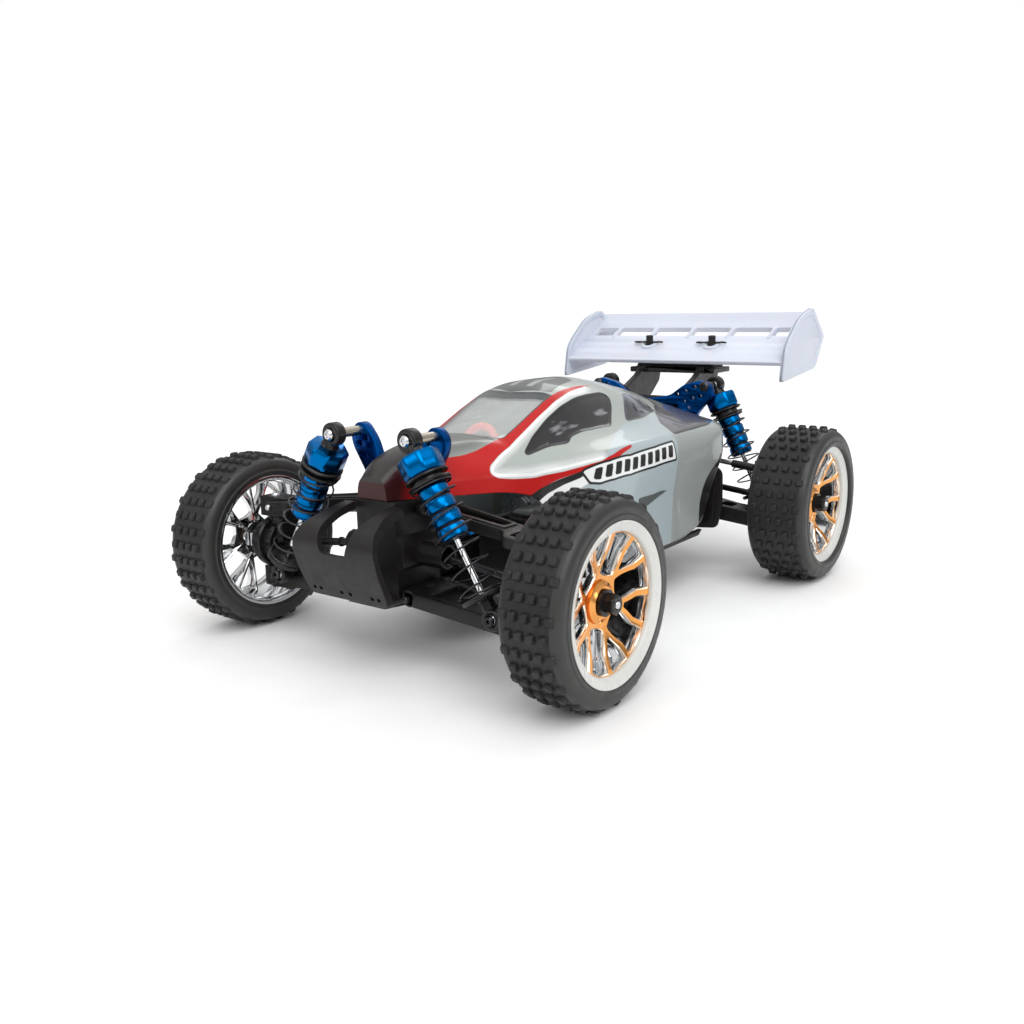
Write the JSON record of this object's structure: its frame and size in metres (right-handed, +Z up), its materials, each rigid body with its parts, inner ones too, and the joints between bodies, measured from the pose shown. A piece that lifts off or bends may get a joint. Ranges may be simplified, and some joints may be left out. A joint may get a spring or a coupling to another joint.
{
  "type": "rc buggy",
  "caption": "Electric four-wheel-drive off-road radio-control buggy with sprung suspension, steering, spinning wheels, a painted shell and a rear wing.",
  "frame": {"origin": "on the ground, under the centre of the overall box, on the car's centre plane", "axes": "+Z up, -Y is the car's front, +X is the car's left side"},
  "size_m": [0.181, 0.275, 0.1165],
  "materials": {
    "tyre_rubber": "matte moulded rubber with square knobs",
    "rim_chrome": "chrome-plated plastic",
    "rim_copper": "copper-coloured plating on the spokes and hub",
    "rim_white": "white painted rim ring",
    "black_plastic": "moulded nylon, satin",
    "blue_aluminium": "blue anodised",
    "steel": "turned and polished",
    "spring_steel": "blackened spring wire",
    "shell_paint": "thin polycarbonate painted pearl silver and red",
    "window_tint": "smoked clear polycarbonate",
    "white_nylon": "moulded white nylon",
    "battery_wrap": "heat-shrink wrap",
    "gear_plastic": "moulded gear nylon"
  },
  "bodies": {
    "chassis": {"chassis_plate": "black_plastic", "front_bumper": "black_plastic", "front_gearbox": "black_plastic", "rear_gearbox": "black_plastic", "front_shock_tower": "blue_aluminium", "rear_shock_tower": "blue_aluminium", "wing_mount": "black_plastic", "rear_wing": "white_nylon", "body_shell": "shell_paint", "motor": "steel", "battery_pack": "battery_wrap", "steering_servo": "black_plastic"},
    "spur": {"spur_gear": "gear_plastic"},
    "pinion": {"motor_pinion": "steel"},
    "horn": {"servo_horn": "black_plastic"},
    "link": {"steering_link": "blue_aluminium"},
    "tie_left": {"tie_rod_left": "steel"},
    "tie_right": {"tie_rod_right": "steel"},
    "front_left_arm": {"front_left_lower_arm": "black_plastic"},
    "front_left_upper": {"front_left_upper_arm": "black_plastic"},
    "front_left_hub": {"front_left_steering_hub": "black_plastic"},
    "front_left_wheel": {"front_left_tyre": "tyre_rubber", "front_left_rim": "rim_chrome", "front_left_axle": "steel"},
    "front_left_drive": {"front_left_drive_shaft": "steel"},
    "front_left_shock_body": {"front_left_shock_body": "blue_aluminium", "front_left_spring": "spring_steel"},
    "front_left_shock_rod": {"front_left_shock_rod": "steel"},
    "front_left_knuckle": {"front_left_knuckle": "black_plastic"},
    "front_right_arm": {"front_right_lower_arm": "black_plastic"},
    "front_right_upper": {"front_right_upper_arm": "black_plastic"},
    "front_right_hub": {"front_right_steering_hub": "black_plastic"},
    "front_right_wheel": {"front_right_tyre": "tyre_rubber", "front_right_rim": "rim_chrome", "front_right_axle": "steel"},
    "front_right_drive": {"front_right_drive_shaft": "steel"},
    "front_right_shock_body": {"front_right_shock_body": "blue_aluminium", "front_right_spring": "spring_steel"},
    "front_right_shock_rod": {"front_right_shock_rod": "steel"},
    "front_right_knuckle": {"front_right_knuckle": "black_plastic"},
    "rear_left_arm": {"rear_left_lower_arm": "black_plastic"},
    "rear_left_upper": {"rear_left_upper_link": "black_plastic"},
    "rear_left_hub": {"rear_left_hub_carrier": "black_plastic"},
    "rear_left_wheel": {"rear_left_tyre": "tyre_rubber", "rear_left_rim": "rim_chrome", "rear_left_axle": "steel"},
    "rear_left_drive": {"rear_left_drive_shaft": "steel"},
    "rear_left_shock_body": {"rear_left_shock_body": "blue_aluminium", "rear_left_spring": "spring_steel"},
    "rear_left_shock_rod": {"rear_left_shock_rod": "steel"},
    "rear_right_arm": {"rear_right_lower_arm": "black_plastic"},
    "rear_right_upper": {"rear_right_upper_link": "black_plastic"},
    "rear_right_hub": {"rear_right_hub_carrier": "black_plastic"},
    "rear_right_wheel": {"rear_right_tyre": "tyre_rubber", "rear_right_rim": "rim_chrome", "rear_right_axle": "steel"},
    "rear_right_drive": {"rear_right_drive_shaft": "steel"},
    "rear_right_shock_body": {"rear_right_shock_body": "blue_aluminium", "rear_right_spring": "spring_steel"},
    "rear_right_shock_rod": {"rear_right_shock_rod": "steel"}
  },
  "joints": [
    {"name": "front_left_suspension", "type": "hinge", "parent": "chassis", "child": "front_left_arm", "pos_m": [0.013, -0.10405, 0.0255], "axis": [0, -1, 0], "range_deg": [0, 14], "stiffness_Nm_per_rad": 1, "springref_deg": -22.92, "deforming": ["front_left_spring"]},
    {"name": "front_left_upper_pivot", "type": "hinge", "parent": "chassis", "child": "front_left_upper", "pos_m": [0.013, -0.10405, 0.054], "axis": [0, -1, 0], "range_deg": [0, 14]},
    {"name": "front_left_hub_pivot", "type": "hinge", "parent": "front_left_arm", "child": "front_left_hub", "pos_m": [0.059, -0.10405, 0.02], "axis": [0, -1, 0], "range_deg": [-14, 0]},
    {"name": "front_left_steering", "type": "hinge", "parent": "front_left_hub", "child": "front_left_knuckle", "pos_m": [0.064, -0.10405, 0.0335], "axis": [0, 0, 1], "range_deg": [-22, 22]},
    {"name": "front_left_wheel_spin", "type": "hinge", "parent": "front_left_knuckle", "child": "front_left_wheel", "pos_m": [0.0775, -0.10405, 0.0335], "axis": [1, 0, 0], "continuous": true},
    {"name": "front_left_drive_spin", "type": "hinge", "parent": "front_left_arm", "child": "front_left_drive", "pos_m": [0.064, -0.10405, 0.0335], "axis": [0.9929, 0, -0.1187], "continuous": true},
    {"name": "front_left_shock_pivot", "type": "hinge", "parent": "chassis", "child": "front_left_shock_body", "pos_m": [0.0175, -0.11505, 0.0792], "axis": [0, -1, 0], "range_deg": [0, 3.96]},
    {"name": "front_left_shock_foot", "type": "hinge", "parent": "front_left_arm", "child": "front_left_shock_rod", "pos_m": [0.0501, -0.11505, 0.0253], "axis": [0, -1, 0], "range_deg": [-10.14, 0]},
    {"name": "front_right_suspension", "type": "hinge", "parent": "chassis", "child": "front_right_arm", "pos_m": [-0.013, -0.10405, 0.0255], "axis": [0, 1, 0], "range_deg": [0, 14], "stiffness_Nm_per_rad": 1, "springref_deg": -22.92, "deforming": ["front_right_spring"]},
    {"name": "front_right_upper_pivot", "type": "hinge", "parent": "chassis", "child": "front_right_upper", "pos_m": [-0.013, -0.10405, 0.054], "axis": [0, 1, 0], "range_deg": [0, 14]},
    {"name": "front_right_hub_pivot", "type": "hinge", "parent": "front_right_arm", "child": "front_right_hub", "pos_m": [-0.059, -0.10405, 0.02], "axis": [0, 1, 0], "range_deg": [-14, 0]},
    {"name": "front_right_steering", "type": "hinge", "parent": "front_right_hub", "child": "front_right_knuckle", "pos_m": [-0.064, -0.10405, 0.0335], "axis": [0, 0, 1], "range_deg": [-22, 22]},
    {"name": "front_right_wheel_spin", "type": "hinge", "parent": "front_right_knuckle", "child": "front_right_wheel", "pos_m": [-0.0775, -0.10405, 0.0335], "axis": [1, 0, 0], "continuous": true},
    {"name": "front_right_drive_spin", "type": "hinge", "parent": "front_right_arm", "child": "front_right_drive", "pos_m": [-0.064, -0.10405, 0.0335], "axis": [0.9929, 0, 0.1187], "continuous": true},
    {"name": "front_right_shock_pivot", "type": "hinge", "parent": "chassis", "child": "front_right_shock_body", "pos_m": [-0.0175, -0.11505, 0.0792], "axis": [0, 1, 0], "range_deg": [0, 3.96]},
    {"name": "front_right_shock_foot", "type": "hinge", "parent": "front_right_arm", "child": "front_right_shock_rod", "pos_m": [-0.0501, -0.11505, 0.0253], "axis": [0, 1, 0], "range_deg": [-10.14, 0]},
    {"name": "rear_left_suspension", "type": "hinge", "parent": "chassis", "child": "rear_left_arm", "pos_m": [0.013, 0.06995, 0.0295], "axis": [0, -1, 0], "range_deg": [0, 14], "stiffness_Nm_per_rad": 1, "springref_deg": -22.92, "deforming": ["rear_left_spring"]},
    {"name": "rear_left_upper_pivot", "type": "hinge", "parent": "chassis", "child": "rear_left_upper", "pos_m": [0.013, 0.06335, 0.053], "axis": [0, -1, 0], "range_deg": [0, 14]},
    {"name": "rear_left_hub_pivot", "type": "hinge", "parent": "rear_left_arm", "child": "rear_left_hub", "pos_m": [0.06, 0.06995, 0.024], "axis": [0, -1, 0], "range_deg": [-14, 0]},
    {"name": "rear_left_wheel_spin", "type": "hinge", "parent": "rear_left_hub", "child": "rear_left_wheel", "pos_m": [0.0775, 0.06995, 0.0335], "axis": [1, 0, 0], "continuous": true},
    {"name": "rear_left_drive_spin", "type": "hinge", "parent": "rear_left_arm", "child": "rear_left_drive", "pos_m": [0.065, 0.06995, 0.0335], "axis": [0.9932, 0, -0.1162], "continuous": true},
    {"name": "rear_left_shock_pivot", "type": "hinge", "parent": "chassis", "child": "rear_left_shock_body", "pos_m": [0.0285, 0.08295, 0.082], "axis": [0, -1, 0], "range_deg": [0, 4.38]},
    {"name": "rear_left_shock_foot", "type": "hinge", "parent": "rear_left_arm", "child": "rear_left_shock_rod", "pos_m": [0.0545, 0.08295, 0.0255], "axis": [0, -1, 0], "range_deg": [-9.72, 0]},
    {"name": "rear_right_suspension", "type": "hinge", "parent": "chassis", "child": "rear_right_arm", "pos_m": [-0.013, 0.06995, 0.0295], "axis": [0, 1, 0], "range_deg": [0, 14], "stiffness_Nm_per_rad": 1, "springref_deg": -22.92, "deforming": ["rear_right_spring"]},
    {"name": "rear_right_upper_pivot", "type": "hinge", "parent": "chassis", "child": "rear_right_upper", "pos_m": [-0.013, 0.06335, 0.053], "axis": [0, 1, 0], "range_deg": [0, 14]},
    {"name": "rear_right_hub_pivot", "type": "hinge", "parent": "rear_right_arm", "child": "rear_right_hub", "pos_m": [-0.06, 0.06995, 0.024], "axis": [0, 1, 0], "range_deg": [-14, 0]},
    {"name": "rear_right_wheel_spin", "type": "hinge", "parent": "rear_right_hub", "child": "rear_right_wheel", "pos_m": [-0.0775, 0.06995, 0.0335], "axis": [1, 0, 0], "continuous": true},
    {"name": "rear_right_drive_spin", "type": "hinge", "parent": "rear_right_arm", "child": "rear_right_drive", "pos_m": [-0.065, 0.06995, 0.0335], "axis": [0.9932, 0, 0.1162], "continuous": true},
    {"name": "rear_right_shock_pivot", "type": "hinge", "parent": "chassis", "child": "rear_right_shock_body", "pos_m": [-0.0285, 0.08295, 0.082], "axis": [0, 1, 0], "range_deg": [0, 4.38]},
    {"name": "rear_right_shock_foot", "type": "hinge", "parent": "rear_right_arm", "child": "rear_right_shock_rod", "pos_m": [-0.0545, 0.08295, 0.0255], "axis": [0, 1, 0], "range_deg": [-9.72, 0]},
    {"name": "steering_link_slide", "type": "slide", "parent": "chassis", "child": "link", "axis": [1, 0, 0], "range_m": [-0.0058, 0.0058]},
    {"name": "servo_horn_turn", "type": "hinge", "parent": "chassis", "child": "horn", "pos_m": [-0.014, -0.07505, 0.0416], "axis": [0, 0, 1], "range_deg": [-24, 24]},
    {"name": "tie_left_pivot", "type": "hinge", "parent": "link", "child": "tie_left", "pos_m": [0.018, -0.08905, 0.0487], "axis": [0, -1, 0], "range_deg": [0, 14]},
    {"name": "tie_right_pivot", "type": "hinge", "parent": "link", "child": "tie_right", "pos_m": [-0.018, -0.08905, 0.0487], "axis": [0, 1, 0], "range_deg": [0, 14]},
    {"name": "spur_spin", "type": "hinge", "parent": "chassis", "child": "spur", "pos_m": [0, 0.02895, 0.039], "axis": [0, 1, 0], "continuous": true},
    {"name": "pinion_spin", "type": "hinge", "parent": "chassis", "child": "pinion", "pos_m": [-0.0184, 0.02895, 0.03491], "axis": [0, 1, 0], "continuous": true}
  ],
  "couplings": [
    {"joint": "front_left_upper_pivot", "follows": "front_left_suspension", "ratio": 1},
    {"joint": "front_left_hub_pivot", "follows": "front_left_suspension", "ratio": -1},
    {"joint": "front_left_drive_spin", "follows": "front_left_wheel_spin", "ratio": 1},
    {"joint": "front_left_shock_pivot", "follows": "front_left_suspension", "ratio": 0.27955},
    {"joint": "front_left_shock_foot", "follows": "front_left_suspension", "ratio": -0.72045},
    {"joint": "front_right_upper_pivot", "follows": "front_right_suspension", "ratio": 1},
    {"joint": "front_right_hub_pivot", "follows": "front_right_suspension", "ratio": -1},
    {"joint": "front_right_steering", "follows": "front_left_steering", "ratio": 1},
    {"joint": "front_right_drive_spin", "follows": "front_right_wheel_spin", "ratio": 1},
    {"joint": "front_right_shock_pivot", "follows": "front_right_suspension", "ratio": 0.27955},
    {"joint": "front_right_shock_foot", "follows": "front_right_suspension", "ratio": -0.72045},
    {"joint": "rear_left_upper_pivot", "follows": "rear_left_suspension", "ratio": 1},
    {"joint": "rear_left_hub_pivot", "follows": "rear_left_suspension", "ratio": -1},
    {"joint": "rear_left_drive_spin", "follows": "rear_left_wheel_spin", "ratio": 1},
    {"joint": "rear_left_shock_pivot", "follows": "rear_left_suspension", "ratio": 0.30958},
    {"joint": "rear_left_shock_foot", "follows": "rear_left_suspension", "ratio": -0.69042},
    {"joint": "rear_right_upper_pivot", "follows": "rear_right_suspension", "ratio": 1},
    {"joint": "rear_right_hub_pivot", "follows": "rear_right_suspension", "ratio": -1},
    {"joint": "rear_right_drive_spin", "follows": "rear_right_wheel_spin", "ratio": 1},
    {"joint": "rear_right_shock_pivot", "follows": "rear_right_suspension", "ratio": 0.30958},
    {"joint": "rear_right_shock_foot", "follows": "rear_right_suspension", "ratio": -0.69042},
    {"joint": "steering_link_slide", "follows": "front_left_steering", "m_per_rad": -0.014634},
    {"joint": "servo_horn_turn", "follows": "front_left_steering", "ratio": -1.0756},
    {"joint": "tie_left_pivot", "follows": "front_left_suspension", "ratio": 1},
    {"joint": "tie_right_pivot", "follows": "front_right_suspension", "ratio": 1},
    {"joint": "pinion_spin", "follows": "spur_spin", "ratio": -4}
  ]
}
